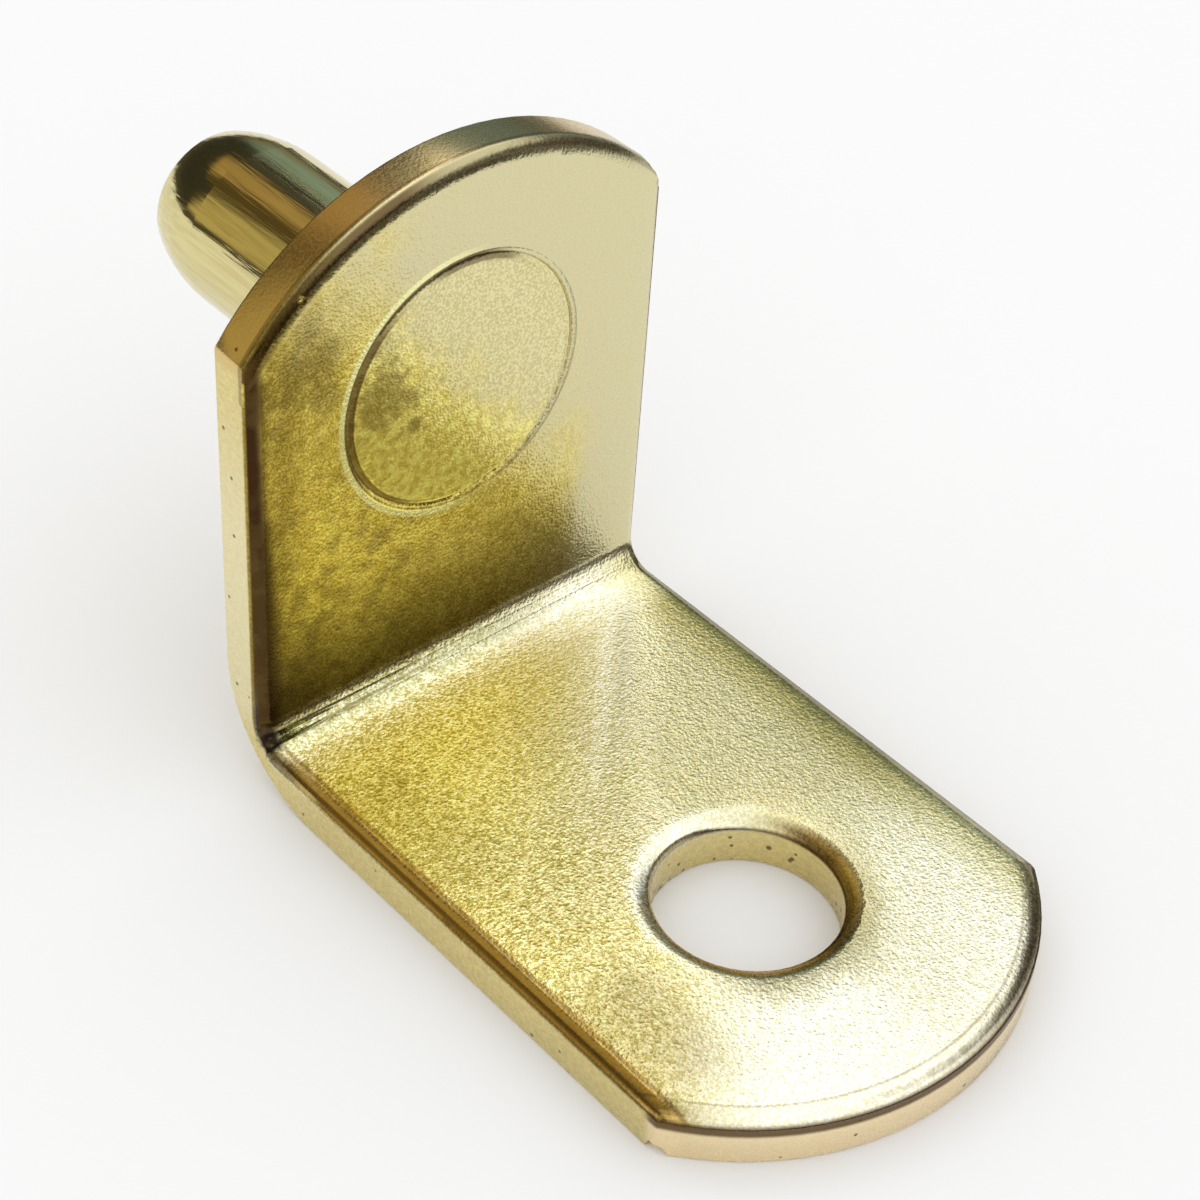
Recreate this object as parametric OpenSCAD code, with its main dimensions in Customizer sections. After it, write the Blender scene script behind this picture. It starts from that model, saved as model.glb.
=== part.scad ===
// Shelf support pin: a bent steel plate that carries the shelf on its leg,
// and a pin staked through its upright that plugs into the cabinet side.
// Millimetres. The origin is where the pin's axis meets the wall face:
// +Y runs into the cabinet side along the pin, +Z is up, and the leg reaches out along -Y.

/* [Plate] */
// Thickness of the sheet
sheet_t = 1.45; // [1.1:0.05:2]
// Width of the plate
plate_w = 13; // [10.5:0.1:18]
// Length of the leg, from the wall face to its tip
leg_len = 20.2; // [16:0.1:30]
// Height of the plate, from the underside of the leg to the top of the upright
plate_h = 16.7; // [13.5:0.1:26]
// Outer radius of the bend
bend_out_r = 3.6; // [2:0.1:4.4]
// Inner radius of the bend
bend_in_r = 0.7; // [0.3:0.1:2]

/* [Rounded ends] */
// How far the arc at the leg's tip stands out past its corners
tip_rise = 3.3; // [2:0.1:4.2]
// How far the arc at the top of the upright stands up past its corners
top_rise = 3; // [2:0.1:4]
// Sideways shift of the upright's arc, which was punched off centre
top_shift = 0.35; // [-0.5:0.05:0.5]
// Radius of the soft corner at the right end of the upright's arc
soft_corner_r = 2; // [0.5:0.1:3]

/* [Punched edges] */
// How far the rolled edge of the ends and the screw hole reaches in from the edge
end_roll_in = 0.48; // [0.3:0.02:0.6]
// How far the rolled edge of the straight sides reaches in from the edge
side_roll_in = 0.36; // [0.3:0.02:0.6]
// Depth of the rolled edges below the inner face
roll_deep = 0.2; // [0.12:0.01:0.3]
// Depth of the rolled edge at the top of the upright, which is heavier than the rest
top_roll_deep = 0.32; // [0.12:0.01:0.4]
// Angle, in degrees, at which a rolled edge leaves the inner face
roll_angle = 8; // [5:1:9]

/* [Dents] */
// Radius of the pinched dent at the left end of the inner bend
pinch_r = 0.24; // [0.1:0.02:0.3]
// Radius of the chip out of the leg's left corner, at its underside
chip_r = 0.32; // [0.1:0.02:0.5]
// Radius of the nick in the rolled edge of the upright's arc
nick_r = 0.13; // [0.08:0.01:0.2]
// Angle of that nick from the middle of the arc, in degrees
nick_turn = -38.8; // [-40:0.2:40]

/* [Screw hole] */
// Diameter of the screw hole
hole_d = 4.9; // [3:0.1:6.2]
// Distance from the screw hole's axis to the leg's tip
hole_to_tip = 7.1; // [6:0.1:8.5]

/* [Pin] */
// Diameter of the pin
pin_d = 4.85; // [4:0.05:6.4]
// Length of the pin beyond the wall face
pin_len = 9.5; // [6:0.1:14]
// Distance from the pin's axis to the top of the upright
pin_to_top = 6.4; // [5.5:0.1:8]
// Length of the pin's tapered nose
nose_len = 2.3; // [1.2:0.1:3]
// Radius of the curve that tapers the nose
nose_curve_r = 5; // [4:0.1:10]
// Radius of the edge round the nose's flat end
nose_edge_r = 0.6; // [0.2:0.05:1]

/* [Staked head] */
// Diameter of the head that is spread flush into the plate
head_d = 7.2; // [7:0.1:8.4]
// Depth of the head in the plate, its taper included
head_deep = 0.85; // [0.6:0.05:1]
// Height of the straight rim round the head
head_rim = 0.25; // [0.2:0.05:0.4]
// How much the pin narrows inside the plate, on the radius
neck_slim = 0.12; // [0.05:0.01:0.3]
// How far the worn groove round the head reaches into the plate
groove_out = 0.16; // [0.05:0.01:0.3]
// How far the worn groove round the head reaches into the head
groove_in = 0.2; // [0.05:0.01:0.3]
// Depth of the groove round the head
groove_deep = 0.11; // [0.08:0.01:0.15]

/* [Hidden] */
$fn = 96;

spare = 1; // how far a cutter runs past what it cuts
proud = 0.01; // lets two curves cross at a small angle instead of only touching
half_w = plate_w / 2;
pin_r = pin_d / 2;
head_r = head_d / 2;
hole_r = hole_d / 2;
neck_r = pin_r - neck_slim;
pin_z = plate_h - pin_to_top; // pin's axis above the underside of the leg
hole_y = leg_len - hole_to_tip;
bend_y = sheet_t + bend_in_r; // centre of the inner bend, from either outer face

// Radius of the arc that spans the plate's width and rises this much at its middle
function arc_r(rise) = (half_w * half_w + rise * rise) / (2 * rise);

// ---- Edges rolled over by the punch ------------------------------------------------

// What a rolled edge lacks: x runs in from the edge and y down from the face.
// The arc leaves the face at the roll angle and reaches the wall at the given depth,
// and it runs on past both, so that no corner of the cutter lies on either.
module rolled_off(reach_in, deep, clear = spare) {
    chord = norm([reach_in, deep]);
    half_turn = atan2(deep, reach_in) - roll_angle;
    r = chord / 2 / sin(half_turn);
    middle = [reach_in, deep] / 2 + [deep, reach_in] / chord * r * cos(half_turn);
    difference() {
        translate([-clear, -clear]) square([clear + middle[0], clear + 1.5 * deep]);
        translate(middle) circle(r);
    }
}

// The rolled edge inside a round opening or outside a round rim, about the Z axis:
// way is 1 where material lies outside the radius and -1 where it lies inside.
module round_roll(radius, way, reach_in, deep, turn = 360) {
    rotate_extrude(angle = turn)
        translate([radius, 0])
            mirror([way < 0 ? 1 : 0, 0])
                rolled_off(reach_in, deep);
}

// ---- The two flanges ---------------------------------------------------------------
// Both flanges are drawn standing: the outer face on y = 0, the inner face on
// y = -sheet_t, and z from the outer corner of the bend up to the flange's end.

// Front outline of a flange, its end arc at the top
module flange_outline(length, rise, shift) {
    r = arc_r(rise);
    difference() {
        translate([-half_w, -spare]) square([plate_w, length + 2 * spare]);
        difference() {
            translate([-plate_w, length - 2 * rise]) square([2 * plate_w, 2 * rise + 2 * spare]);
            translate([shift, length - r]) circle(r);
        }
    }
}

// What the soft corner takes off the right end of the upright's arc
module soft_corner() {
    r = arc_r(top_rise);
    out = half_w - soft_corner_r + proud - top_shift;
    reach = r - soft_corner_r + proud;
    up = sqrt(reach * reach - out * out);
    far = 2 * soft_corner_r;
    translate([top_shift + out, spare, plate_h - r + up])
        rotate([90, 0, 0])
            linear_extrude(sheet_t + 2 * spare)
                difference() {
                    polygon([[0, 0], [far, 0], [far, far * up / out]]);
                    circle(soft_corner_r);
                }
}

// The whole depth of the part that lies within a flange's outline
module flange_block(length, rise, shift, depth) {
    translate([0, spare, 0])
        rotate([90, 0, 0])
            linear_extrude(depth + 2 * spare)
                flange_outline(length, rise, shift);
}

// What the rolled sides take off a flange
module side_rolls(length) {
    for (side = [0, 1])
        mirror([side, 0, 0])
            translate([-half_w, -sheet_t, bend_y])
                linear_extrude(length + spare - bend_y)
                    rolled_off(side_roll_in, roll_deep);
}

// What the rolled edge of a flange's end arc takes off
module end_roll(length, rise, shift, deep) {
    r = arc_r(rise);
    sweep = asin(min(1, (half_w + abs(shift) + side_roll_in) / (r - end_roll_in)));
    translate([shift, -sheet_t, length - r])
        rotate([-90, 0, 0])
            rotate([0, 0, -90 - sweep])
                round_roll(r, -1, end_roll_in, deep, 2 * sweep);
}

// What the rolled sides take off round the inner bend
module bend_rolls() {
    for (side = [0, 1])
        mirror([side, 0, 0])
            translate([-half_w, -bend_y, bend_y])
                rotate([0, 90, 0])
                    rotate_extrude(angle = 90)
                        translate([bend_in_r, 0])
                            mirror([1, -1])
                                rolled_off(side_roll_in, roll_deep, bend_in_r / 2);
}

// Turns a standing flange into the leg that lies along -Y
module as_leg() {
    mirror([0, 1, 1]) children();
}

// Side view of the bent sheet: x is the part's y, and y is its z
module bent_section() {
    difference() {
        translate([-leg_len - spare, 0]) square([leg_len + spare, plate_h + spare]);
        difference() {
            translate([-leg_len - 2 * spare, sheet_t])
                square([leg_len + 2 * spare - sheet_t, plate_h + 2 * spare]);
            difference() {
                translate([-bend_y, sheet_t]) square(bend_in_r);
                translate([-bend_y, bend_y]) circle(bend_in_r);
            }
        }
        difference() {
            translate([-bend_out_r, -spare]) square([bend_out_r + spare, bend_out_r + spare]);
            translate([-bend_out_r, bend_out_r]) circle(bend_out_r);
        }
    }
}

// ---- The staked joint --------------------------------------------------------------

// Points of the half section where the pin fills the plate, from the head's face out to
// the wall face: x is the radius and y runs along the pin
staked_points = [
    [head_r, -sheet_t],
    [head_r, head_rim - sheet_t],
    [neck_r, head_deep - sheet_t],
    [pin_r, 0],
];

// Turns a half section about the pin's axis
module about_pin() {
    rotate([-90, 0, 0]) rotate_extrude() children();
}

// The hole that the pin is staked into, open past both faces
module pin_seat() {
    about_pin()
        polygon(concat(
            [[0, -sheet_t - spare], [head_r, -sheet_t - spare]],
            staked_points,
            [[pin_r, spare], [0, spare]]
        ));
}

// What the groove round the head takes off the plate (way 1) or off the head (way -1)
module groove(way, reach_in) {
    translate([0, -sheet_t, 0])
        rotate([-90, 0, 0])
            round_roll(head_r, way, reach_in, groove_deep);
}

// ---- Pieces ------------------------------------------------------------------------

// The bent sheet with its ends cut to their arcs and its edges still square
module plate_blank() {
    intersection() {
        translate([-plate_w, 0, 0])
            rotate([90, 0, 90])
                linear_extrude(2 * plate_w)
                    bent_section();
        flange_block(plate_h, top_rise, top_shift, leg_len);
        as_leg() flange_block(leg_len, tip_rise, 0, plate_h);
    }
}

// The blank with its long edges rolled over
module plate_with_sides() {
    difference() {
        plate_blank();
        side_rolls(plate_h);
        as_leg() side_rolls(leg_len);
        bend_rolls();
    }
}

// Small dents: the pinched end of the bend, the chipped corner and the nick in the arc
module dents() {
    pinch_at = bend_y - (bend_in_r + roll_deep / 2) * cos(45);
    nick_at = arc_r(top_rise) - end_roll_in / 2;
    translate([side_roll_in / 2 - half_w, -pinch_at, pinch_at]) sphere(pinch_r);
    translate([-half_w, tip_rise - leg_len, 0]) sphere(chip_r);
    translate([top_shift, -sheet_t + top_roll_deep / 2, plate_h - arc_r(top_rise)])
        rotate([0, nick_turn, 0])
            translate([0, 0, nick_at]) sphere(nick_r);
}

module bent_plate() {
    color([0.84, 0.78, 0.50])
        translate([0, 0, -pin_z])
            difference() {
                plate_with_sides();
                soft_corner();
                end_roll(plate_h, top_rise, top_shift, top_roll_deep);
                as_leg() end_roll(leg_len, tip_rise, 0, roll_deep);
                translate([0, -hole_y, -spare]) cylinder(r = hole_r, h = sheet_t + 2 * spare);
                translate([0, -hole_y, sheet_t])
                    mirror([0, 0, 1])
                        round_roll(hole_r, 1, end_roll_in, roll_deep);
                translate([0, 0, pin_z]) pin_seat();
                translate([0, 0, pin_z]) groove(1, groove_out);
                dents();
            }
}

// Half section of the pin: head, neck, shank, curved taper, rounded edge and flat end
module pin_half() {
    taper_y = pin_len - nose_len;
    edge_y = pin_len - nose_edge_r; // centre of the rounded edge
    curve_x = pin_r - nose_curve_r; // centre of the taper's curve
    reach = nose_curve_r - nose_edge_r + proud;
    run = edge_y - taper_y;
    edge_x = curve_x + sqrt(reach * reach - run * run);
    meet_y = taper_y + run * nose_curve_r / reach;
    polygon(concat(
        [[0, -sheet_t]],
        staked_points,
        [[pin_r, taper_y], [edge_x, taper_y], [edge_x, pin_len], [0, pin_len]]
    ));
    intersection() {
        translate([edge_x, taper_y]) square([pin_r, nose_len]);
        translate([curve_x, taper_y]) circle(nose_curve_r);
        union() {
            translate([edge_x, taper_y]) square([pin_r, meet_y - taper_y]);
            translate([edge_x, edge_y]) circle(nose_edge_r);
        }
    }
}

module pin() {
    color([0.76, 0.70, 0.42])
        difference() {
            about_pin() pin_half();
            groove(-1, groove_in);
        }
}

bent_plate();
pin();
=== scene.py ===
"""Brass-plated shelf support pin: the bent plate and the staked pin, finished and lit on a pale floor."""

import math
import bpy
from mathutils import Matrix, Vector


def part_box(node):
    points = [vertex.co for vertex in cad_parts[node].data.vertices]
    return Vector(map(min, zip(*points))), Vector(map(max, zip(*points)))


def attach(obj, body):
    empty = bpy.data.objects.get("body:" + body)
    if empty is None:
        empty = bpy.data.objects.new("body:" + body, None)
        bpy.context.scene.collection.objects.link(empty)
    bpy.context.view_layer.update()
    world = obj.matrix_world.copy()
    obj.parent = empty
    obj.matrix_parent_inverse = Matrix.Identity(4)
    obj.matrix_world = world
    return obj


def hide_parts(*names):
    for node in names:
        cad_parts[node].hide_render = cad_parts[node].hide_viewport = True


bl_info = {
    "name": "Shelf support pin",
    "version": (1, 0, 0),
    "blender": (4, 5, 0),
    "location": "3D View > Sidebar > Shelf pin",
    "description": "Finishes the bent plate and the staked pin of a plated shelf support",
    "category": "Object",
}

import bmesh
import bpy
from bpy.props import FloatProperty, FloatVectorProperty, PointerProperty
from mathutils import Matrix, Vector

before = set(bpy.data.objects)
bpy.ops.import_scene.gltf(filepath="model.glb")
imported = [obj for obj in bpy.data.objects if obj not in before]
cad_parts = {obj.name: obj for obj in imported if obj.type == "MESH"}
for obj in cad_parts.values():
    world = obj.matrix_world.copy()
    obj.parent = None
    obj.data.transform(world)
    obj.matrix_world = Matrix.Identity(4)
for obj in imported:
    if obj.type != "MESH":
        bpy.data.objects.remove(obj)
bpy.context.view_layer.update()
PLATE_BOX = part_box("bent_plate")

MM = 0.001  # a millimetre, in metres

# the part's sizes and places, in millimetres
PLATE_LOW, PLATE_HIGH = PLATE_BOX[0] / MM, PLATE_BOX[1] / MM  # opposite corners of its box
HALF_WIDTH = PLATE_HIGH.x
SHEET = 1.45  # thickness
LEG_TOP = PLATE_LOW.z + SHEET  # height of the leg's inner face
BEND_IN = 0.7  # inner radius of the bend
TOP_R = 8.542  # radius of the upright's arc
TOP_SHIFT = 0.35  # sideways shift of that arc
TIP_R = 8.052  # radius of the leg's tip
HOLE_R = 2.45
HOLE_Y = -13.1
HEAD_R = 3.6  # radius of the pin's head
GROOVE_IN, GROOVE_OUT = 3.4, 3.76  # radii of the groove round the head
GROOVE_FILL, GROOVE_FILL_RIGHT = 0.07, 0.035  # how far wear has filled it, and how much more on the right
ROLL = 0.2  # depth of the rolled edges
TOP_ROLL = 0.32  # depth of the rolled edge on the upright's arc
PINCH = (-6.32, -1.58, -8.72)  # the dent at the fold's left end
DENTS = [(PINCH, 0.4), ((-6.5, -16.9, -10.3), 0.5), ((-4.85, -1.29, 4.33), 0.3)]  # place and reach
PINCH_SOFT = 0.26  # how far from the pinch wear has smoothed it
SEAT_CLEAR = 4.0  # distance from the pin's axis inside which no edge is rounded
UPRIGHT_STAIN = (-4.8, 2.1)  # x and z of its middle
HEAD_STAIN = (-2.4, 0.45)

# colours that the plating is multiplied by: the four shades are painted shade, the rest the grain's flecks
# and blotches
RIGHT_SHADE = (0.78, 0.78, 0.70)  # painted shade on the leg to the right of its painted highlight streak
LEFT_SHADE = (0.68, 0.66, 0.62)  # painted shade on the leg's left side
STRIP_SHADE = (0.82, 0.78, 0.53)  # painted shade, darker and warmer, on the strip along the leg's right edge
FOLD_SHADE = (0.74, 0.76, 0.72)  # painted shade on the strip just past the fold
PLATE_FLECKS = ((0.62, 0.60, 0.42), (1.18, 1.18, 1.45))  # dark and bright, as the next three
PLATE_BLOTCHES = ((0.84, 0.80, 0.66), (1.08, 1.08, 1.1))
HEAD_FLECKS = ((0.84, 0.82, 0.72), (1.08, 1.08, 1.15))
HEAD_BLOTCHES = ((0.80, 0.77, 0.64), (1.12, 1.12, 1.15))


# ---- Sizes and colours -------------------------------------------------------------


def colour_setting(name, description, *rgb):
    return FloatVectorProperty(
        name=name, description=description, default=rgb, min=0, max=1, subtype="COLOR"
    )


def length_setting(name, description, default, most):
    least = 0.001 * MM
    return FloatProperty(
        name=name, description=description, default=default, min=least, max=most, unit="LENGTH"
    )


def share_setting(name, description, default):
    return FloatProperty(
        name=name, description=description, default=default, min=0, max=1, subtype="FACTOR"
    )


def angle_setting(name, description, degrees):
    return FloatProperty(name=name, description=description, default=math.radians(degrees), subtype="ANGLE")


class PlateFinish(bpy.types.PropertyGroup):
    pale: colour_setting("Pale plating", "The thin brass plating", 0.72, 0.66, 0.39)
    # The deep golds are partly heavier plating and partly painted reflection near the fold; dimmed next to
    # the fold they are painted shade.
    gold: colour_setting("Deep plating", "The heavier plating beside the fold", 0.66, 0.52, 0.10)
    upright_gold: colour_setting("Upright plating", "The heavier plating up the upright", 0.93, 0.77, 0.17)
    # The leg plating also paints the highlight on the lip outside the groove round the pin's head.
    leg_gold: colour_setting("Leg plating", "The heavier plating on the leg", 0.98, 0.95, 0.48)
    leg_far_gold: colour_setting("Far leg plating", "The heavier plating halfway along", 0.74, 0.67, 0.29)
    # The pale colour of the painted highlights on the leg and of the lighter low part of the upright's left
    # wall.
    painted_highlight: colour_setting("Rubbed plating", "Where tumbling rubs the plating thin", 0.97, 0.94, 0.72)
    wall: colour_setting("Wall plating", "The thin plating on the sheared walls", 0.76, 0.63, 0.27)
    tip_wall: colour_setting("Tip wall", "The wall round the leg's tip", 0.92, 0.75, 0.46)
    arc_wall: colour_setting("Arc wall", "The wall round the upright's arc", 0.72, 0.53, 0.22)
    crown: colour_setting("Crown", "The dull wall over the top of the upright", 0.20, 0.17, 0.08)
    # Dark brown for the pits and the lines along the edges, and painted shade in the groove round the pin's
    # head and on the arc's rolled edge at the left.
    tarnish_and_shade: colour_setting("Tarnish", "The dark lines along the edges", 0.09, 0.045, 0.012)
    # Brown also paints shade in the crease past the fold and low on the upright's left.
    brown: colour_setting("Edge brown", "The soft tarnish beside the edges", 0.13, 0.085, 0.025)
    edge_tan: colour_setting("Leg edge", "The warm band along the leg's left edge", 0.72, 0.46, 0.11)
    olive: colour_setting("Olive", "The dull rim in front of the screw hole", 0.36, 0.31, 0.13)
    rim_tan: colour_setting("Rim tan", "The worn lip of the screw hole", 0.62, 0.41, 0.13)
    # Darkest brown: painted shade in the pinch at the fold's left end, and the dark border up the upright's
    # left edge.
    darkest_brown_and_pinch_shade: colour_setting("Pinch dirt", "The dirt caught at the fold's left end", 0.05, 0.022, 0.008)
    roughness: share_setting("Roughness", "How satin the tumbled plate is", 0.22)
    edge_round: length_setting("Edge rounding", "How far tumbling rounds the edges", 0.09 * MM, 0.2 * MM)
    grain_size: length_setting("Grain size", "Size of the pebbles", 0.08 * MM, MM)
    grain_depth: length_setting("Grain depth", "Depth of the pebbled grain", 0.013 * MM, 0.1 * MM)


class PinFinish(bpy.types.PropertyGroup):
    plating: colour_setting("Plating", "The brass plating on the pin", 0.72, 0.64, 0.31)
    worn: colour_setting("Streaks", "The fine streaks drawn along the pin", 0.50, 0.40, 0.16)
    head: colour_setting("Head plating", "The thin plating on the tumbled head", 0.78, 0.71, 0.38)
    deep: colour_setting("Deep plating", "The blotches of heavier plating on the head", 1.0, 0.87, 0.25)
    stain: colour_setting("Stain", "The olive stain on the head", 0.16, 0.11, 0.02)
    # Painted shade: the brown ring round the head's left side and top.
    tarnish_and_shade: colour_setting("Tarnish", "The brown ring round the head", 0.09, 0.045, 0.012)
    roughness: share_setting("Roughness", "How bright the turned pin is", 0.1)
    grain_size: length_setting("Grain size", "Size of the pebbles on the head", 0.07 * MM, MM)
    grain_depth: length_setting("Grain depth", "Depth of the grain on the head", 0.006 * MM, 0.1 * MM)


class StageSettings(bpy.types.PropertyGroup):
    floor_colour: colour_setting("Floor", "Colour of the floor", 0.97, 0.97, 0.97)
    camera_place: FloatVectorProperty(
        name="Camera",
        description="Where the camera stands",
        default=(-0.035948, -0.044485, 0.040376),
        subtype="TRANSLATION",
        unit="LENGTH",
    )
    camera_azimuth: angle_setting("Azimuth", "Compass angle of the view", -43.784)
    camera_elevation: angle_setting("Elevation", "How far the view looks down", 40.164)
    camera_roll: angle_setting("Roll", "How far the camera leans", 4.219)
    lens: FloatProperty(name="Lens", description="Focal length, in millimetres", default=81.96, min=10)
    room_light: FloatProperty(name="Room light", description="Even light all round", default=1.0, min=0)
    tent_light: FloatProperty(name="Tent light", description="The tent's bright panel", default=1.4, min=0)


# ---- Nodes worked out like sums ----------------------------------------------------


class Field:
    """A value or colour that varies over a surface. A sum written with it adds the nodes for that sum."""

    def __init__(self, tree, socket):
        self.tree = tree
        self.socket = socket

    def __add__(self, other):
        return calc("ADD", self, other)

    def __sub__(self, other):
        return calc("SUBTRACT", self, other)

    def __rsub__(self, other):
        return calc("SUBTRACT", other, self)

    def __mul__(self, other):
        return calc("MULTIPLY", self, other)

    def __truediv__(self, other):
        return calc("DIVIDE", self, other)

    def __rtruediv__(self, other):
        return calc("DIVIDE", other, self)


def tree_of(*values):
    return next(value.tree for value in values if isinstance(value, Field))


def feed(tree, socket, value):
    """Links a field to a socket, or sets anything else as its value."""
    if isinstance(value, Field):
        tree.links.new(value.socket, socket)
    elif socket.type == "RGBA":
        socket.default_value = (*value[:3], 1)
    else:
        socket.default_value = value


def add(tree, kind, **inputs):
    """Adds a node, laid out in rows of twelve, and feeds the inputs that are named."""
    node = tree.nodes.new(kind)
    row, column = divmod(len(tree.nodes), 12)
    node.location = (180 * column, -220 * row)
    for name, value in inputs.items():
        feed(tree, node.inputs[name.replace("_", " ")], value)
    return node


def calc(operation, *values):
    tree = tree_of(*values)
    node = add(tree, "ShaderNodeMath")
    node.operation = operation
    for socket, value in zip(node.inputs, values):
        feed(tree, socket, value)
    return Field(tree, node.outputs[0])


def vector_calc(operation, gives, *vectors):
    """Works out a Vector or a Value, as gives says, from one or two vectors."""
    tree = tree_of(*vectors)
    node = add(tree, "ShaderNodeVectorMath")
    node.operation = operation
    for socket, vector in zip(node.inputs, vectors):
        feed(tree, socket, vector)
    return Field(tree, node.outputs[gives])


def larger(a, b):
    return calc("MAXIMUM", a, b)


def smaller(a, b):
    return calc("MINIMUM", a, b)


def distance(along, across):
    return calc("SQRT", along * along + across * across)


def rise(value, low, high):
    """0 below low and 1 above high, smooth between. It falls instead where low is the larger."""
    tree = tree_of(value)
    falls = low > high
    places = {"From_Min": min(low, high), "From_Max": max(low, high)}
    node = add(tree, "ShaderNodeMapRange", Value=value, To_Min=int(falls), To_Max=int(not falls), **places)
    node.interpolation_type = "SMOOTHSTEP"
    return Field(tree, node.outputs[0])


def band(value, middle, half_width, soft):
    """1 within half_width of middle, fading out over soft."""
    return rise(calc("ABSOLUTE", value - middle), half_width + soft, half_width)


def fading(value, reach):
    """1 where value is 0, and about a third of that for each further reach."""
    return calc("EXPONENT", (0.0 - value) / reach)


def part_of_the_way(value, start, end):
    """0 at start and 1 at end, straight between, and no more or less."""
    tree = tree_of(value)
    node = add(tree, "ShaderNodeMapRange", Value=value, From_Min=start, From_Max=end)
    return Field(tree, node.outputs[0])


def mix(factor, a, b, blend="MIX"):
    """The colour a where factor is 0, and b, or what b is blended to with a, where it is 1."""
    tree = tree_of(factor, a, b)
    node = add(tree, "ShaderNodeMix")
    node.data_type = "RGBA"
    node.blend_type = blend
    for socket, value in zip((node.inputs[0], node.inputs[6], node.inputs[7]), (factor, a, b)):
        feed(tree, socket, value)
    return Field(tree, node.outputs[2])


def tint(factor, colour, by):
    """The colour multiplied by another where factor is 1, and left alone where it is 0."""
    return mix(factor, colour, by, "MULTIPLY")


def mix_value(factor, a, b):
    """The value a where factor is 0, and b where it is 1."""
    tree = tree_of(factor, a, b)
    node = add(tree, "ShaderNodeMix")
    for socket, value in zip((node.inputs[0], node.inputs[2], node.inputs[3]), (factor, a, b)):
        feed(tree, socket, value)
    return Field(tree, node.outputs[0])


def dimmed(colour, factor):
    return tuple(min(1.0, channel * factor) for channel in colour)


def in_millimetres(tree):
    """The point on the surface, in the part's own frame, in millimetres."""
    where = add(tree, "ShaderNodeTexCoord")
    return stretched(Field(tree, where.outputs["Object"]), (1 / MM, 1 / MM, 1 / MM))


def stretched(place, scale):
    node = add(place.tree, "ShaderNodeMapping", Vector=place, Scale=scale)
    return Field(place.tree, node.outputs[0])


def axes(place):
    node = add(place.tree, "ShaderNodeSeparateXYZ", Vector=place)
    return (Field(place.tree, socket) for socket in node.outputs)


def noise(place, scale, detail, roughness=0.5):
    tree = place.tree
    node = add(tree, "ShaderNodeTexNoise", Vector=place, Scale=scale, Detail=detail, Roughness=roughness)
    return Field(tree, node.outputs["Fac"])


def cells(place, scale):
    """Scattered cells: how far a point is from its cell's middle, and a colour of the cell's own."""
    node = add(place.tree, "ShaderNodeTexVoronoi", Vector=place, Scale=scale)
    return Field(place.tree, node.outputs["Distance"]), Field(place.tree, node.outputs["Color"])


# ---- Shared effects ----------------------------------------------------------------


def new_group(name, takes, gives):
    """An empty shader group: its tree, its inputs as fields, and its output node."""
    tree = bpy.data.node_groups.new(name, "ShaderNodeTree")
    for side, sockets in (("INPUT", takes), ("OUTPUT", gives)):
        for label, kind in sockets.items():
            tree.interface.new_socket(label, in_out=side, socket_type=kind)
    start = tree.nodes.new("NodeGroupInput")
    fields = {label: Field(tree, start.outputs[label]) for label in takes}
    return tree, fields, tree.nodes.new("NodeGroupOutput")


def place_group(tree, group, **inputs):
    """Places a shader group and gives its outputs, by name."""
    node = tree.nodes.new("ShaderNodeGroup")
    node.node_tree = group
    for name, value in inputs.items():
        feed(tree, node.inputs[name.replace("_", " ")], value)
    return {socket.name: Field(tree, socket) for socket in node.outputs}


def pebbled_grain():
    """The fine grain that tumbling leaves: a height in millimetres, and flecks and blotches from 0 to 1."""
    tree, takes, end = new_group(
        "pebbled_grain",
        {"Place": "NodeSocketVector", "Grain Size": "NodeSocketFloat", "Depth": "NodeSocketFloat"},
        {"Height": "NodeSocketFloat", "Flecks": "NodeSocketFloat", "Blotches": "NodeSocketFloat"},
    )
    place = takes["Place"]
    per_mm = 1.0 / takes["Grain Size"]
    fine = noise(place, per_mm, 1.0, 0.6)
    pebbles, _ = cells(place, per_mm * 0.8)
    coarse = noise(place, per_mm * 0.3, 1.0)
    height = pebbles * 0.5 + fine + coarse * 0.6
    feed(tree, end.inputs["Height"], height * takes["Depth"])
    feed(tree, end.inputs["Flecks"], rise(fine, 0.36, 0.64))
    feed(tree, end.inputs["Blotches"], rise(coarse, 0.36, 0.64))
    return tree


def place_grain(tree, group, place, look):
    size, depth = look.grain_size / MM, look.grain_depth / MM
    return place_group(tree, group, Place=place, Grain_Size=size, Depth=depth)


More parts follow.
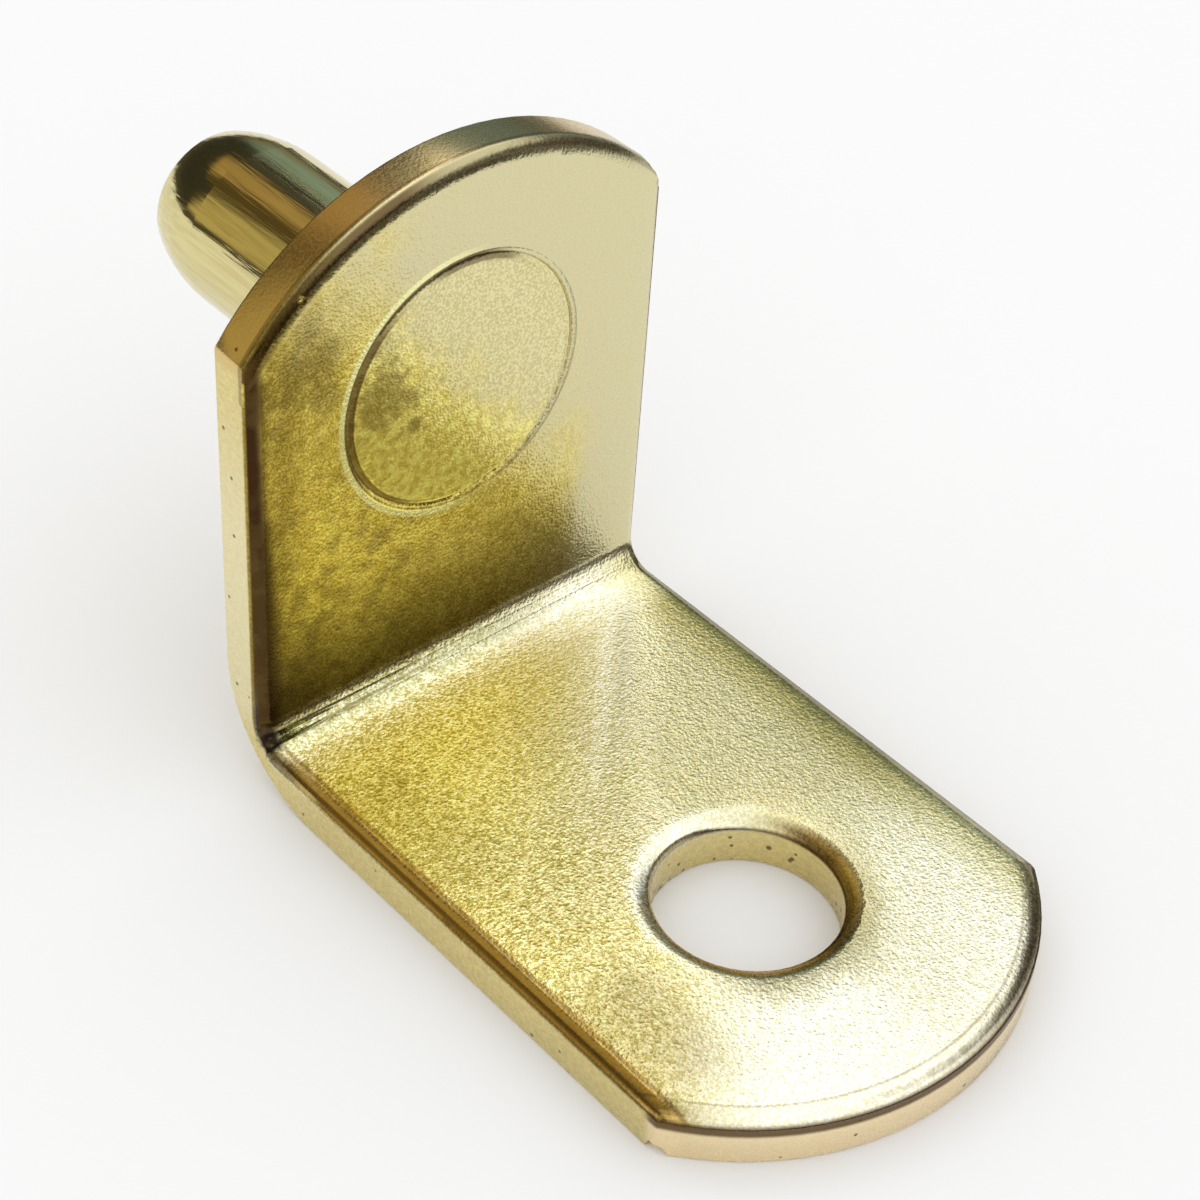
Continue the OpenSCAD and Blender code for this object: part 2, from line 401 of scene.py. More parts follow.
def plate_edges():
    """How far a point of the plate lies below the inner face, and in from its edges, in millimetres."""
    tree, takes, end = new_group(
        "plate_edges",
        {"Place": "NodeSocketVector"},
        {label: "NodeSocketFloat" for label in ("Depth", "Side", "Top", "Tip", "Hole", "Edge")},
    )
    x, y, z = axes(takes["Place"])
    bend = BEND_IN + SHEET  # centre of the inner bend, from either outer face
    from_bend = distance(larger(y + bend, 0.0), larger(PLATE_LOW.z + bend - z, 0.0))
    top_in = TOP_R - distance(x - TOP_SHIFT, z - (PLATE_HIGH.z - TOP_R))
    tip_in = TIP_R - distance(x, y - (PLATE_LOW.y + TIP_R))
    hole_in = distance(x, y - HOLE_Y) - HOLE_R
    mid_leg, above_leg, mid_upright = -9.0, -8.0, 0.0  # where each arc's own part of the plate begins
    far_off = 50.0  # added outside that part, where the arc doesn't count
    gives = {
        "Depth": from_bend - BEND_IN,
        "Side": HALF_WIDTH - calc("ABSOLUTE", x),
        "Top": top_in + calc("LESS_THAN", z, mid_upright) * far_off,
        "Tip": tip_in + calc("GREATER_THAN", y, mid_leg) * far_off,
        "Hole": hole_in + calc("GREATER_THAN", z, above_leg) * far_off,
    }
    ends = smaller(gives["Top"], gives["Tip"])
    gives["Edge"] = smaller(smaller(gives["Side"], ends), gives["Hole"])
    for label, value in gives.items():
        feed(tree, end.inputs[label], value)
    return tree


def worn_groove(from_axis, x, rim_r):
    """How far wear has filled the groove round the head, from nothing at its rim to most at the seam."""
    filled_at_seam = rise(x, -0.5, 2.0) * GROOVE_FILL_RIGHT + GROOVE_FILL
    return part_of_the_way(from_axis, rim_r, HEAD_R) * filled_at_seam


def bump(tree, height):
    """A normal bent by a height in millimetres."""
    node = add(tree, "ShaderNodeBump", Strength=1.0, Distance=MM, Height=height)
    return Field(tree, node.outputs[0])


def new_material(name, shader_kind, **inputs):
    """A material with one shader: the material, its tree and the shader's node."""
    material = bpy.data.materials.new(name)
    material.use_nodes = True
    tree = material.node_tree
    tree.nodes.clear()
    shader = add(tree, shader_kind, **inputs)
    end = add(tree, "ShaderNodeOutputMaterial")
    tree.links.new(shader.outputs[0], end.inputs[0])
    return material, tree, shader


# ---- The plate's finish ------------------------------------------------------------

# The bounds that rise and band are given are places or distances on the plate, in millimetres. What a
# mask is then multiplied by is the strength of its effect.


class PlateSurface:
    """Where a point of the plate lies, in millimetres, and which of its parts it is on, from 0 to 1."""

    def __init__(self, tree, look):
        place = in_millimetres(tree)
        edges = place_group(tree, plate_edges(), Place=place)
        grain = place_grain(tree, pebbled_grain(), place, look)
        self.place = place
        self.x, self.y, self.z = axes(place)
        self.depth = edges["Depth"]  # below the inner face
        self.side, self.top, self.tip, self.hole = edges["Side"], edges["Top"], edges["Tip"], edges["Hole"]
        self.edge = edges["Edge"]  # in from the nearest of those four
        self.grain, self.flecks, self.blotches = grain["Height"], grain["Flecks"], grain["Blotches"]
        self.drift = noise(place, 0.45, 3.0, 0.6) - 0.5  # slow and uneven, to either side of 0
        self.stain = noise(place, 1.3, 3.0, 0.6)
        self.up = larger(self.z - LEG_TOP, 0.0)  # above the leg
        self.out_along = larger(-SHEET - self.y, 0.0)  # out along the leg from the upright
        self.to_tip = self.out_along + smaller(self.x, 0.0) * 0.9  # less far out on the left
        past_hole = HOLE_Y - self.y
        self.behind_hole = self.x * -0.5 - past_hole * 0.85
        self.ahead_of_hole = self.x * 0.4 + past_hole * 0.9
        self.right_of_hole = self.x * 0.8 + past_hole * 0.6
        self.from_pin = distance(self.x, self.z)
        self.on_leg = rise(self.up, 0.8, 0.0)
        self.on_upright = rise(self.up, 0.8, 1.6) * rise(self.depth, 0.4, 0.3)
        self.on_wall = rise(self.depth, 0.3, 0.4)
        self.on_face = rise(self.depth, 0.26, 0.18)
        from_pinch = vector_calc("DISTANCE", "Value", place, PINCH)
        self.pinched = rise(from_pinch - self.blotches * 0.14, 0.34, 0.1)


def plating(at, look):
    """Thin pale plating, and how much deeper it is towards the fold and the left side, partly as plating
    and partly as painted reflection of the upright and leg in each other. Gives both.
    """
    thin = at.out_along / 34.0 + (at.x + HALF_WIDTH) / 11.0
    thin = thin + rise(at.to_tip, 8.5, 14.0) * 0.7 + rise(at.z, 0.5, 4.0) * 0.45
    low = rise(at.z, -2.0, -5.5) * rise(at.up, 0.3, 1.0) * rise(at.x, 5.0, 3.4)
    deep = rise(thin - low * 0.36 + at.drift * 0.6, 1.0, 0.35)
    on_leg = mix(rise(at.out_along, 5.0, 10.0), look.leg_gold, look.leg_far_gold)
    # painted shade: the upright's gold is dimmed next to the fold and on its left side, and brighter
    # further up
    on_upright = mix(rise(at.up, 1.8, 5.0), dimmed(look.gold, 0.72), look.upright_gold)
    top_left = rise(at.z, 1.0, 3.5) * rise(at.x, -3.6, -5.0)
    left = larger(rise(at.x, -4.5, -5.7), top_left) * 0.75
    on_upright = mix(left, on_upright, dimmed(look.gold, 0.8))
    return mix(deep, look.pale, mix(at.on_leg, on_upright, on_leg)), deep


def paint_leg_highlights(colour, at, look):
    """Painted highlights make the leg pale at its tip, beside the fold, behind the hole and in a streak
    across it, and painted shade dims it right of the streak and on its left side.
    """
    beside_fold = rise(at.out_along - BEND_IN, 1.7, 0.3) * at.on_leg * (rise(at.x, 1.0, 4.0) * 0.6 + 0.35)
    behind_hole = rise(at.behind_hole, -0.3, 1.6) * rise(at.hole, 0.8, 0.3)
    past_highlight_streak = at.out_along * 0.96 + at.x - HALF_WIDTH
    # the painted highlight streak across the leg
    mark = larger(band(past_highlight_streak, -0.9, 0.3, 1.4) * 0.45, band(past_highlight_streak, -0.85, 0.1, 0.55))
    mark = mark * rise(at.out_along, 8.5, 4.0) * at.on_leg * 0.85
    thin = larger(larger(rise(at.to_tip, 9.5, 14.0), beside_fold), larger(behind_hole, mark))
    colour = mix(thin, colour, look.painted_highlight)
    right = rise(past_highlight_streak, 0.4, 1.8) * rise(past_highlight_streak, 15.0, 8.0) * rise(at.x, -0.5, 1.5) * at.on_leg
    colour = tint(right, colour, RIGHT_SHADE)
    far = rise(at.out_along, 10.5, 12.5) * rise(at.out_along, 17.0, 14.5)
    near = rise(at.out_along, 1.8, 3.2) * rise(at.out_along, 8.5, 6.0) * 0.7
    return tint(larger(far, near) * rise(at.x, -3.0, -4.6) * at.on_leg, colour, LEFT_SHADE)


def dull_hole_rim(colour, at, look):
    """An olive halo in front of the screw hole, a tan lip, and brown on its right."""
    halo = rise(at.hole / (at.drift * 1.5 + 1.0), 1.6, 0.2) * rise(at.ahead_of_hole, -0.4, 1.8) * at.on_leg
    colour = mix(halo * mix_value(rise(at.x, 2.4, 3.2), 0.85, 0.51), colour, look.olive)
    ahead = rise(at.hole, 0.5, 0.15) * rise(at.ahead_of_hole, -0.8, 0.8)
    left = rise(at.hole, 0.55, 0.25) * rise(at.behind_hole, 2.6, 2.2) * rise(at.x, -1.0, -2.0)
    colour = mix(larger(ahead, left) * at.on_leg * 0.75, colour, look.rim_tan)
    right = rise(at.hole, 0.26, 0.06) * rise(at.right_of_hole, 0.8, 1.8) * at.on_leg
    return mix(right * 0.8, colour, look.brown)


def fleck(colour, at, deep):
    """Flecks and blotches of thinner plating, strongest where the plating is deep."""
    colour = tint(deep * 0.6 + at.on_leg * 0.4 + 0.06, colour, mix(at.flecks, *PLATE_FLECKS))
    return tint(deep * 0.9, colour, mix(at.blotches, *PLATE_BLOTCHES))


def darken_leg_rims(colour, at, look):
    """The leg's right edge gets painted shade, darker and warmer, and the leg is browner right at that edge
    and at its tip.
    """
    strip = rise(at.side, 2.2, 0.4) * rise(at.x, 3.8, 5.2) * at.on_leg
    colour = tint(strip, colour, STRIP_SHADE)
    right = rise(at.drift * -0.5 + at.side, 0.42, 0.15) * rise(at.x, 4.0, 5.5) * at.on_leg
    colour = mix(right * 0.55, colour, look.brown)
    tip = rise(at.drift * -0.6 + at.tip, 0.45, 0.12) * rise(at.x, -1.5, 3.5) * at.on_leg
    return mix(tip * 0.6, colour, look.brown)


def shade_beside_fold(colour, at, look):
    """Painted shade just past the fold: a dimmer strip, with a thin dark line in it."""
    low = rise(at.up, 0.45, 0.25)
    strip = rise(at.out_along, 0.8, 0.35) * low * rise(at.x, 4.0, 1.0)
    colour = tint(strip, colour, FOLD_SHADE)
    line = band(at.out_along, at.drift * 0.12 + 0.22, 0.02, 0.05) * low * rise(at.x, 1.0, -3.0)
    return mix(line * 0.6, colour, look.brown)


def darken_left_edge(colour, at, look):
    """Soft brown along the left edge, a warm band with dark lines on the leg, painted shade low on the
    upright's left next to the fold, and a dark border above.
    """
    left = rise(at.x, -4.0, -5.0) * at.on_face
    low = rise(at.z, 0.0, -5.0)
    reach = mix_value(at.on_leg, at.drift * 0.5 + low * 0.45 + 0.5, 0.5)
    strength = mix_value(at.on_leg, 0.95, rise(at.out_along, 11.0, 15.0) * -0.12 + 0.55)
    colour = mix(left * rise(at.side / reach, 1.1, 0.25) * strength, colour, look.brown)

    leg_left = rise(at.x, -5.0, -5.5) * at.on_leg * rise(at.depth, 0.32, 0.24)
    warm = leg_left * rise(at.drift * -0.4 + at.side, 0.62, 0.35) * rise(at.out_along, 0.2, 1.5)
    colour = mix(warm * 0.6, colour, look.edge_tan)
    outer_line = band(at.side, 0.1, 0.02, 0.06) * 0.7
    inner_line = band(at.drift * 0.25 + at.side, 0.42, 0.02, 0.08) * 0.5
    colour = mix(larger(outer_line, inner_line) * leg_left, colour, look.tarnish_and_shade)

    # painted shade low on the upright's left, next to the fold
    corner = rise(at.x, -3.4, -5.8) * rise(at.up, 4.5, 1.2) * rise(at.up, 0.1, 0.5) * at.on_face
    colour = mix(corner * 0.6, colour, look.brown)
    border = left * rise(at.side / (at.drift * 0.35 + low * 0.25 + 0.26), 1.6, 0.5) * rise(at.up, 0.0, 1.0)
    return mix(border * mix_value(rise(at.z, -1.5, -3.5), 1.0, 0.7), colour, look.darkest_brown_and_pinch_shade)


def stain_and_shade_upright(colour, at, look):
    """A tan right edge, mottled brown painted shade low on the left, and an olive stain in one patch at the
    top left.
    """
    right = rise(at.side, 0.45, 0.05) * rise(at.x, 5.0, 6.0) * rise(at.up, 1.0, 3.0)
    colour = mix(right * rise(at.depth, 0.35, 0.25) * 0.5, colour, look.wall)
    face = rise(at.depth, 0.3, 0.2)
    # painted shade low on the upright's left, mottled by the stain noise
    low = rise(at.x, 1.0, -3.0) * rise(at.z, 1.0, -3.0) * rise(at.up, 0.4, 1.0) * face
    colour = mix(rise(at.stain, 0.47, 0.62) * low * 0.4, colour, look.brown)
    from_patch = (at.stain - 0.5) * 6.0 + distance(at.x - UPRIGHT_STAIN[0], at.z - UPRIGHT_STAIN[1])
    patch = rise(from_patch, 2.2, 0.2) * face * rise(at.x, -3.2, -4.0)
    return mix(patch * 0.5, colour, look.brown)


def plate_walls(colour, at, look):
    """The sheared walls keep a thin tan plating, streaked across, painted lighter low on the upright's left
    wall, and dull over the upright's crown.
    """
    streaks = noise(stretched(at.place, (8.0, 5.0, 8.0)), 1.0, 2.0)
    tan = mix(rise(streaks, 0.35, 0.65), dimmed(look.wall, 0.92), dimmed(look.wall, 1.06))
    # painted highlight: the low part of the upright's left wall is painted lighter
    left = rise(at.x, -6.0, -6.3) * rise(at.z, 3.0, -3.0) * rise(at.up, 0.0, 1.0)
    tan = mix(left * 0.45, tan, look.painted_highlight)
    round_arc = rise(at.top, 0.25, 0.1)
    tan = mix(round_arc, tan, look.arc_wall)
    crown = rise(at.x, -1.6, 0.4) * rise(at.x, 3.6, 2.4) * round_arc
    tan = mix(crown * 0.8, tan, look.crown)
    tan = mix(rise(at.tip, 0.25, 0.1), tan, look.tip_wall)
    return mix(at.on_wall * 0.9, colour, tan)


def line_rolled_edges(colour, at, look):
    """Brown lines round the arc and the tip, painted shade on the arc's rolled edge at its left, and a dark
    line where a rolled edge meets its wall.
    """
    rolled = rise(at.depth, 0.34, 0.28)
    face = rise(at.depth, 0.2, 0.1)
    # painted shade: the arc's rolled edge is painted dark on its left
    arc_left = band(at.top, 0.13, 0.07, 0.07) * rolled * rise(at.x, 0.5, -2.0)
    colour = mix(arc_left * 0.9, colour, look.tarnish_and_shade)
    arc_line = band(at.top, 0.3, 0.03, 0.06) * face * rise(at.x, 2.5, 0.5)
    colour = mix(arc_line * 0.5, colour, look.brown)
    arc_right = band(at.top, 0.08, 0.08, 0.08) * rolled * rise(at.x, -2.0, 0.5)
    colour = mix(arc_right * 0.45, colour, look.brown)
    tip_band = band(at.tip, 0.2, 0.05, 0.08) * rise(at.x, -5.0, 0.5) * (at.blotches * 0.5 + 0.5) * face
    colour = mix(tip_band * 0.5, colour, look.brown)
    tip_line = band(at.tip, 0.5, 0.015, 0.05) * face
    colour = mix(tip_line * 0.45, colour, look.brown)
    below_roll = at.depth - mix_value(calc("LESS_THAN", at.top, 0.6), ROLL, TOP_ROLL)
    meets_wall = band(below_roll, 0.07, 0.03, 0.06) * 0.55
    at_tip = band(below_roll, 0.15, 0.1, 0.14) * rise(at.tip, 0.3, 0.1)
    return mix(larger(meets_wall, at_tip) * rise(at.edge, 0.3, 0.12) * 0.9, colour, look.tarnish_and_shade)


def pit_walls(colour, at, look):
    """Small dark pits in the sheared walls, more of them in the screw hole."""
    in_hole = rise(at.hole, 0.25, 0.1)
    from_pit, tone = cells(at.place, 1.6)
    chance, _, _ = axes(tone)
    pits = rise(from_pit - in_hole * 0.05, 0.11, 0.07) * rise(in_hole * 0.4 + chance, 0.5, 0.55)
    from_pit, tone = cells(at.place, 3.4)
    chance, _, _ = axes(tone)
    hole_pits = rise(from_pit, 0.27, 0.17) * rise(chance, 0.4, 0.45) * in_hole
    return mix(larger(pits, hole_pits) * rise(at.depth, 0.35, 0.45) * 0.8, colour, look.tarnish_and_shade)


def highlight_and_shade_groove(colour, at, look):
    """A painted highlight on the lip outside the groove round the pin's head, on its left, and painted
    shade in the groove on its upper left.
    """
    lip = band(at.from_pin, GROOVE_OUT + 0.06, 0.06, 0.07) * rise(at.x, 1.0, -1.0) * at.on_upright
    colour = mix(lip, colour, look.leg_gold)
    up_left = at.z * 0.6 - at.x * 0.8
    groove = band(at.from_pin, HEAD_R + 0.05, 0.07, 0.06) * at.on_upright * rise(up_left, 0.5, 2.0)
    return mix(groove * 0.85, colour, look.tarnish_and_shade)


def drop_at_edge(from_edge, reach, slope):
    """How far the press draws a face down near an edge: most at the edge, and little three reaches in."""
    return fading(larger(from_edge, 0.0), reach) * (-slope * reach)


def plate_relief(at):
    """The grain, and the soft shape from the press: curved beside the fold and drawn down at the edges."""
    from_fold = at.up + at.out_along - BEND_IN
    fold = fading(from_fold, mix_value(at.on_leg, 1.5, 1.4)) * mix_value(at.on_leg, 0.26, 0.285)
    crease = fading(from_fold, 0.45) * at.on_leg * 0.06
    hole_drop = drop_at_edge(at.hole, 0.5, 0.22) * mix_value(rise(at.right_of_hole, 0.5, -1.8), 1.0, -0.3)
    end_drops = drop_at_edge(at.tip, 1.0, 0.12) + drop_at_edge(at.top, 0.25, -0.08)
    drops = end_drops + drop_at_edge(at.side, 0.4, 0.30) + hole_drop
    pressed = (fold + crease + drops) * rise(at.depth, 0.3, 0.1)
    filled = worn_groove(at.from_pin, at.x, GROOVE_OUT) * at.on_upright
    roughened = (rise(at.edge, 0.15, 0.6) * 0.75 + 0.25) * (at.on_wall * -0.4 + 1.0)
    return at.grain * roughened + pressed + filled


def plate_material(look):
    material, tree, shader = new_material("plated_plate_satin", "ShaderNodeBsdfPrincipled")
    at = PlateSurface(tree, look)
    colour, deep = plating(at, look)
    colour = paint_leg_highlights(colour, at, look)
    colour = dull_hole_rim(colour, at, look)
    colour = fleck(colour, at, deep)
    # these paint brown marks and wall colours, and with them painted shade and painted highlights
    for wear in (
        darken_leg_rims,
        shade_beside_fold,
        darken_left_edge,
        stain_and_shade_upright,
        plate_walls,
        line_rolled_edges,
    ):
        colour = wear(colour, at, look)
    # painted shade in the pinch at the fold's left end
    colour = mix(at.pinched, colour, look.darkest_brown_and_pinch_shade)
    colour = pit_walls(colour, at, look)
    colour = highlight_and_shade_groove(colour, at, look)
    feed(tree, shader.inputs["Base Color"], colour)
    feed(tree, shader.inputs["Metallic"], at.pinched * -0.9 + 1.0)  # the painted shade in the pinch is not metal
    feed(tree, shader.inputs["Roughness"], at.flecks * 0.06 + at.pinched * 0.4 + look.roughness)
    feed(tree, shader.inputs["Normal"], bump(tree, plate_relief(at)))
    return material


# ---- The pin's finish --------------------------------------------------------------


class PinSurface:
    """Where a point of the pin lies, in millimetres, and how far it is on the head or a drawn streak."""

    def __init__(self, tree, look):
        place = in_millimetres(tree)
        grain = place_grain(tree, bpy.data.node_groups["pebbled_grain"], place, look)
        self.place = place
        self.x, self.y, self.z = axes(place)
        self.from_axis = distance(self.x, self.z)
        self.on_head = rise(self.y, -1.0, -1.2)
        streaks = noise(stretched(place, (9.0, 0.5, 9.0)), 1.0, 2.0)
        self.streak = rise(streaks, 0.35, 0.65) * (1.0 - self.on_head)
        self.grain, self.flecks, self.blotches = grain["Height"], grain["Flecks"], grain["Blotches"]


def pin_plating(at, look):
    """Bright drawn plating on the shank, and thin plating with heavier blotches on the tumbled head."""
    shank = mix(at.streak * 0.35, look.plating, look.worn)
    low_left = at.x + at.z - noise(at.place, 0.9, 4.0, 0.65) * 5.0
    deep = rise(low_left, -1.0, -4.5) * at.on_head
    colour = mix(deep, mix(at.on_head, shank, look.head), look.deep)
    colour = tint(at.on_head, colour, mix(at.flecks, *HEAD_FLECKS))
    return tint(deep, colour, mix(at.blotches, *HEAD_BLOTCHES))


def stain_and_shade_head(colour, at, look):
    """An olive stain on the head's left, and a brown ring of painted shade round its left side and its top.
    """
    ragged = (noise(at.place, 1.1, 3.0, 0.65) - 0.5) * 5.0
    from_stain = distance(at.x - HEAD_STAIN[0], at.z - HEAD_STAIN[1])
    olive = rise(from_stain + ragged, 1.5, 0.1) * at.on_head
    colour = mix(olive * 0.55, colour, look.stain)
    left = rise(at.x, -0.6, -2.2) * rise(at.z, 3.3, 2.2)
    top = rise(at.z, 2.6, 3.3) * band(at.x, 0.4, 0.8, 1.0) * 0.8
    ring = band(at.from_axis, HEAD_R - 0.07, 0.06, 0.05) * at.on_head * larger(left, top)
    return mix(ring * 0.85, colour, look.tarnish_and_shade)


def pin_material(look):
    material, tree, shader = new_material("plated_pin_bright", "ShaderNodeBsdfPrincipled", Metallic=1.0)
    at = PinSurface(tree, look)
    relief = (at.grain + worn_groove(at.from_axis, at.x, GROOVE_IN)) * at.on_head + at.streak * 0.002
    feed(tree, shader.inputs["Base Color"], stain_and_shade_head(pin_plating(at, look), at, look))
    feed(tree, shader.inputs["Roughness"], at.on_head * 0.14 + at.streak * 0.05 + look.roughness)
    feed(tree, shader.inputs["Normal"], bump(tree, relief))
    return material


# ---- The stage's finishes ----------------------------------------------------------


def floor_finish(colour):
    material, _, _ = new_material("floor_white", "ShaderNodeBsdfDiffuse", Color=colour)
    return material


def colour_ramp(factor, stops):
    """A colour that runs through the stops, (position, colour) pairs, as factor goes from 0 to 1."""
    node = add(factor.tree, "ShaderNodeValToRGB", Fac=factor)
    elements = node.color_ramp.elements
    while len(elements) < len(stops):
        elements.new(0.5)
    for element, (position, colour) in zip(elements, stops):
        element.position = position
        element.color = (*colour, 1)
    return Field(factor.tree, node.outputs[0])


def grey(level):
    return level, level, level


def bright_panel(way, turn, height):
    """A soft panel overhead to the right, and a narrow window beside it."""
    to_panel = (0.40, -0.35, 0.85)
    levels = ((0.0, 0.0), (0.43, 0.0), (0.55, 0.25), (0.60, 0.48), (0.67, 0.76), (0.71, 1.0))
    facing = vector_calc("DOT_PRODUCT", "Value", way, to_panel)
    panel = colour_ramp(facing, [(position, grey(level)) for position, level in levels])
    panel = mix(rise(height, 0.48, 0.68), grey(0.0), panel)
    window = band(turn, 52.0, 5.0, 1.5) * rise(height, 0.60, 0.64)
    return mix(window, panel, grey(2.4))


def tinted_cards(turn, height):
    """Cards that stand all round, each colour at its place in degrees, over a dark horizon."""
    dim, slate, black = (0.11, 0.09, 0.07), (0.27, 0.38, 0.42), (0.04, 0.04, 0.03)
    orange, brown, tan = (0.46, 0.32, 0.14), (0.10, 0.07, 0.03), (0.56, 0.46, 0.22)
    pale, low_grey, horizon = (0.62, 0.60, 0.52), (0.21, 0.20, 0.12), (0.07, 0.06, 0.04)
    stops = (
        (0, dim),
        (30, slate),
        (50, slate),
        (62, black),
        (74, black),
        (84, orange),
        (100, orange),
        (109, brown),
        (120, brown),
        (126, tan),
        (145, tan),
        (165, dim),
        (180, pale),
        (230, pale),
        (242, dim),
        (360, dim),
    )
    cards = colour_ramp(turn / 360.0, [(degrees / 360, colour) for degrees, colour in stops])
    low_behind = band(turn, 92.0, 30.0, 5.0) * rise(height, 0.60, 0.48)
    cards = mix(low_behind, cards, black)
    low_right = band(turn, 40.0, 14.0, 6.0) * rise(height, 0.36, 0.16)
    cards = mix(low_right, cards, low_grey)
    return mix(rise(height, 0.08, 0.16), horizon, cards)


def tent_finish(strength):
    """The light tent's inside: a bright panel over tinted cards."""
    material, tree, glow = new_material("tent_inside", "ShaderNodeEmission")
    where = add(tree, "ShaderNodeTexCoord")
    way = vector_calc("NORMALIZE", "Vector", Field(tree, where.outputs["Object"]))
    x, y, height = axes(way)
    turn = calc("FRACT", calc("ARCTAN2", y, x) / math.tau + 1.0) * 360.0  # degrees round from the right
    panel = tint(1.0, bright_panel(way, turn, height), grey(strength))
    feed(tree, glow.inputs["Color"], mix(1.0, tinted_cards(turn, height), panel, "LIGHTEN"))
    return material


# ---- Shaping -----------------------------------------------------------------------


def select_only(chosen):
    for other in bpy.context.selected_objects:
        other.select_set(False)
    chosen.select_set(True)
    bpy.context.view_layer.objects.active = chosen


def finished_copy(node_name, piece_name):
    """Copies a CAD node and merges its loose triangles into one clean mesh."""
    select_only(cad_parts[node_name])
    bpy.ops.object.duplicate()
    piece = bpy.context.view_layer.objects.active
    piece.name = piece_name
    piece.data.name = piece_name
    piece.parent = None
    for key in list(piece.keys()):
        if key.startswith("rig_"):
            del piece[key]
    bpy.ops.object.mode_set(mode="EDIT")
    bpy.ops.mesh.select_all(action="SELECT")
    bpy.ops.mesh.remove_doubles(threshold=0.001 * MM)
    bpy.ops.mesh.dissolve_limited(angle_limit=math.radians(0.3))
    bpy.ops.object.mode_set(mode="OBJECT")
    bpy.ops.mesh.customdata_custom_splitnormals_clear()
    piece.data.materials.clear()
    return piece


def mark_sharp_edges(mesh, sharper_than, may_round):
    """Marks for bevelling the edges sharper than an angle that may_round says yes to, by their middle."""
    bm = bmesh.new()
    bm.from_mesh(mesh)
    weight = bm.edges.layers.float.new("bevel_weight_edge")
    for edge in bm.edges:
        sharp = len(edge.link_faces) == 2 and edge.calc_face_angle(0) > sharper_than
        if sharp and may_round((edge.verts[0].co + edge.verts[1].co) / 2):
            edge[weight] = 1
    bm.to_mesh(mesh)
    bm.free()


def round_edges(piece, width, sharper_than, may_round):
    """Rounds the sharp edges and shades them smooth, with the flat faces kept flat."""
    mark_sharp_edges(piece.data, sharper_than, may_round)
    select_only(piece)
    rounding = piece.modifiers.new("rounded edges", "BEVEL")
    rounding.width = width
    rounding.segments = 2
    rounding.limit_method = "WEIGHT"
    rounding.use_clamp_overlap = False
    bpy.ops.object.modifier_apply(modifier=rounding.name)
    bpy.ops.object.shade_smooth_by_angle(angle=math.radians(35))
    flats = piece.modifiers.new("flats stay flat", "WEIGHTED_NORMAL")
    flats.keep_sharp = True
    flats.weight = 80
    bpy.ops.object.modifier_apply(modifier=flats.name)


def clear_of_the_seat_and_dents(point):
    """True away from the pin's seat, the groove round its head, and the small dents."""
    place = point / MM
    by_pin = math.hypot(place.x, place.z) < SEAT_CLEAR
    return not by_pin and all((place - Vector(dent)).length >= reach for dent, reach in DENTS)


def relax_pinch(piece):
    """Smooths the pinch at the fold's left end, which tumbling has worn soft."""
    select_only(piece)
    bpy.ops.object.mode_set(mode="EDIT")
    bpy.ops.mesh.select_mode(type="VERT")
    bpy.ops.mesh.select_all(action="DESELECT")
    bpy.ops.object.mode_set(mode="OBJECT")
    for vertex in piece.data.vertices:
        vertex.select = (vertex.co / MM - Vector(PINCH)).length < PINCH_SOFT
    bpy.ops.object.mode_set(mode="EDIT")
    bpy.ops.mesh.vertices_smooth(factor=0.5, repeat=30)
    bpy.ops.object.mode_set(mode="OBJECT")


# ---- Operators ---------------------------------------------------------------------


class SHELFPIN_OT_plate(bpy.types.Operator):
    """Finish the bent plate: tumbled edges, and satin brass plating with painted highlights and shade"""

    bl_idname = "shelfpin.plate"
    bl_label = "Bent plate"

    def execute(self, context):
        look = context.scene.shelf_pin_plate
        piece = finished_copy("bent_plate", "plate_skin")
        round_edges(piece, look.edge_round, math.radians(25), clear_of_the_seat_and_dents)
        relax_pinch(piece)
        piece.data.materials.append(plate_material(look))
        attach(piece, "root")
        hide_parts("bent_plate")
        return {"FINISHED"}


class SHELFPIN_OT_pin(bpy.types.Operator):
    """Finish the pin: bright brass plating"""

    bl_idname = "shelfpin.pin"
    bl_label = "Staked pin"

    def execute(self, context):
        look = context.scene.shelf_pin_pin
        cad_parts["pin"].material_slots[0].material = pin_material(look)
        return {"FINISHED"}


def add_floor(settings):
    bpy.ops.mesh.primitive_plane_add(size=2.4, location=(0, 0, PLATE_BOX[0].z))
    floor = bpy.context.object
    floor.name = "floor"
    floor.data.materials.append(floor_finish(settings.floor_colour))


def add_light_tent(settings):
    """A sphere round the part, seen only in reflections."""
    centre = (0, -0.005, PLATE_BOX[0].z)
    bpy.ops.mesh.primitive_uv_sphere_add(segments=64, ring_count=32, radius=0.5, location=centre)
    tent = bpy.context.object
    tent.name = "light_tent"
    tent.data.materials.append(tent_finish(settings.tent_light))
    for ray in ("camera", "diffuse", "shadow", "transmission", "volume_scatter"):
        setattr(tent, "visible_" + ray, False)


def light_room(scene, strength):
    world = bpy.data.worlds.new("studio")
    world.use_nodes = True
    background = world.node_tree.nodes["Background"]
    background.inputs["Color"].default_value = (1, 1, 1, 1)
    background.inputs["Strength"].default_value = strength
    scene.world = world


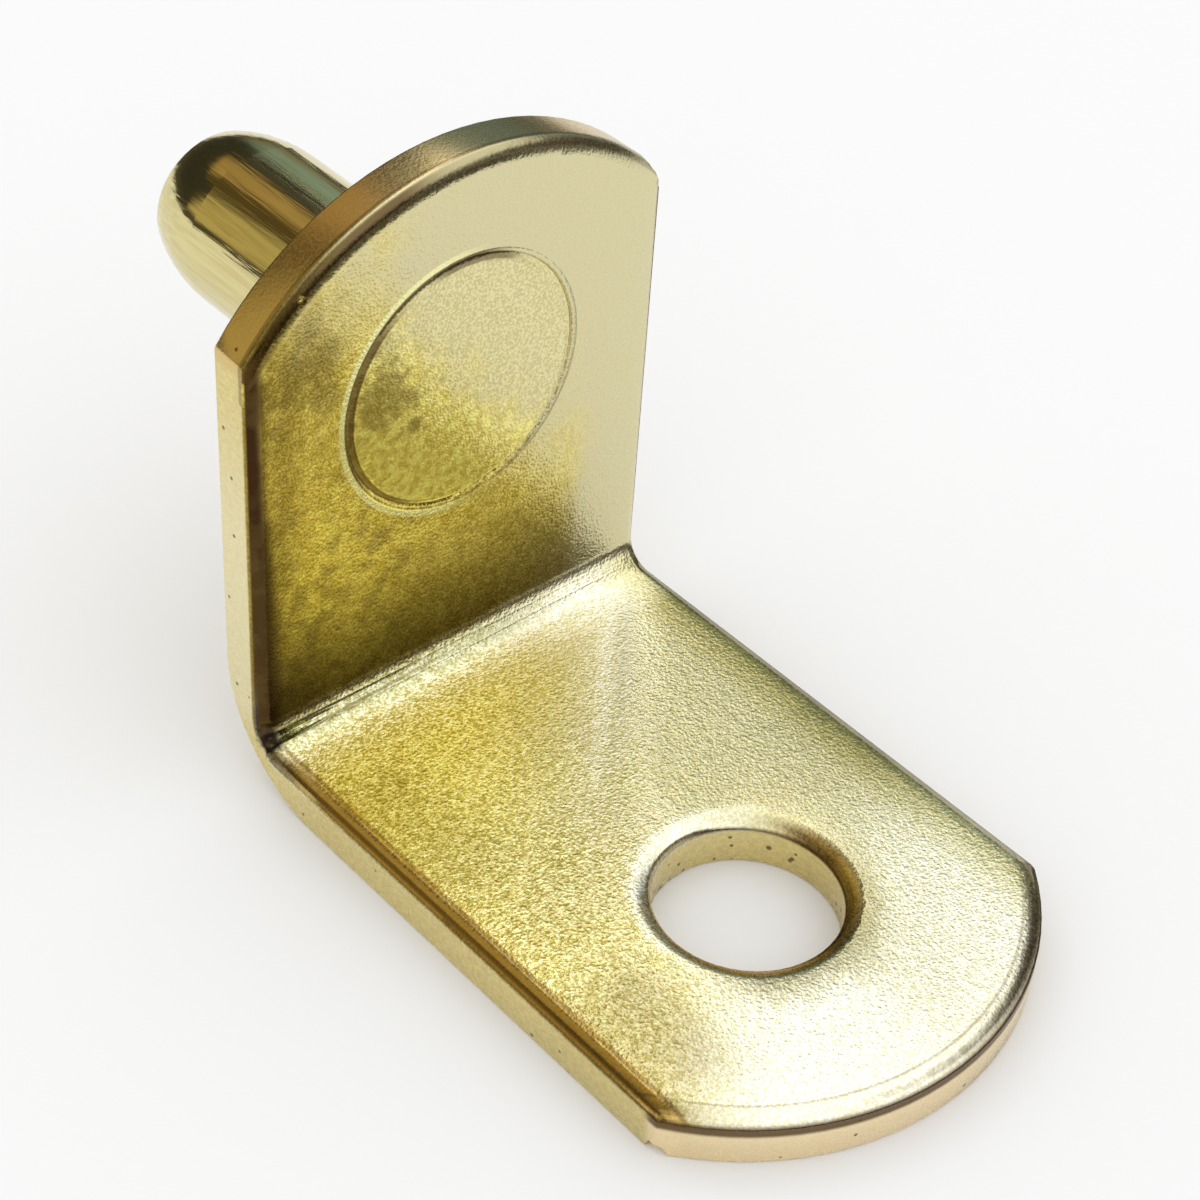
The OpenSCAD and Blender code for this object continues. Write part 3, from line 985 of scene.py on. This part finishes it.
def add_camera(scene, settings):
    """A camera at its place, turned by azimuth and elevation and leaned by roll."""
    azimuth, elevation, roll = settings.camera_azimuth, settings.camera_elevation, settings.camera_roll
    level = Vector((math.sin(azimuth), -math.cos(azimuth), 0))
    back = level * math.cos(elevation) + Vector((0, 0, math.sin(elevation)))
    level_right = Vector((0, 0, 1)).cross(back).normalized()
    right = level_right * math.cos(roll) + back.cross(level_right) * math.sin(roll)
    turn = Matrix((right, back.cross(right), back)).transposed().to_euler()
    bpy.ops.object.camera_add(location=settings.camera_place, rotation=turn)
    camera = bpy.context.object
    camera.name = "main_camera"
    camera.data.sensor_width = 36
    camera.data.lens = settings.lens
    camera.data.clip_start = 0.001
    scene.camera = camera


class SHELFPIN_OT_stage(bpy.types.Operator):
    """Set the floor, the light tent and the camera"""

    bl_idname = "shelfpin.stage"
    bl_label = "Stage"

    def execute(self, context):
        settings = context.scene.shelf_pin_stage
        bpy.ops.object.select_all(action="DESELECT")
        add_floor(settings)
        add_light_tent(settings)
        light_room(context.scene, settings.room_light)
        add_camera(context.scene, settings)
        context.scene.view_settings.view_transform = "Standard"
        return {"FINISHED"}


class SHELFPIN_PT_panel(bpy.types.Panel):
    """The shelf pin's pieces and stage"""

    bl_label = "Shelf pin"
    bl_idname = "SHELFPIN_PT_panel"
    bl_space_type = "VIEW_3D"
    bl_region_type = "UI"
    bl_category = "Shelf pin"

    def draw(self, context):
        for kind in OPERATORS:
            self.layout.operator(kind.bl_idname)


OPERATORS = (SHELFPIN_OT_plate, SHELFPIN_OT_pin, SHELFPIN_OT_stage)
GROUPS = {"shelf_pin_plate": PlateFinish, "shelf_pin_pin": PinFinish, "shelf_pin_stage": StageSettings}
CLASSES = (*GROUPS.values(), *OPERATORS, SHELFPIN_PT_panel)


def register():
    for kind in CLASSES:
        bpy.utils.register_class(kind)
    for name, kind in GROUPS.items():
        setattr(bpy.types.Scene, name, PointerProperty(type=kind))


def unregister():
    for name in GROUPS:
        delattr(bpy.types.Scene, name)
    for kind in reversed(CLASSES):
        bpy.utils.unregister_class(kind)


def main():
    register()
    bpy.ops.shelfpin.plate()
    bpy.ops.shelfpin.pin()
    bpy.ops.shelfpin.stage()
    bpy.context.view_layer.update()


if __name__ == "__main__":
    main()
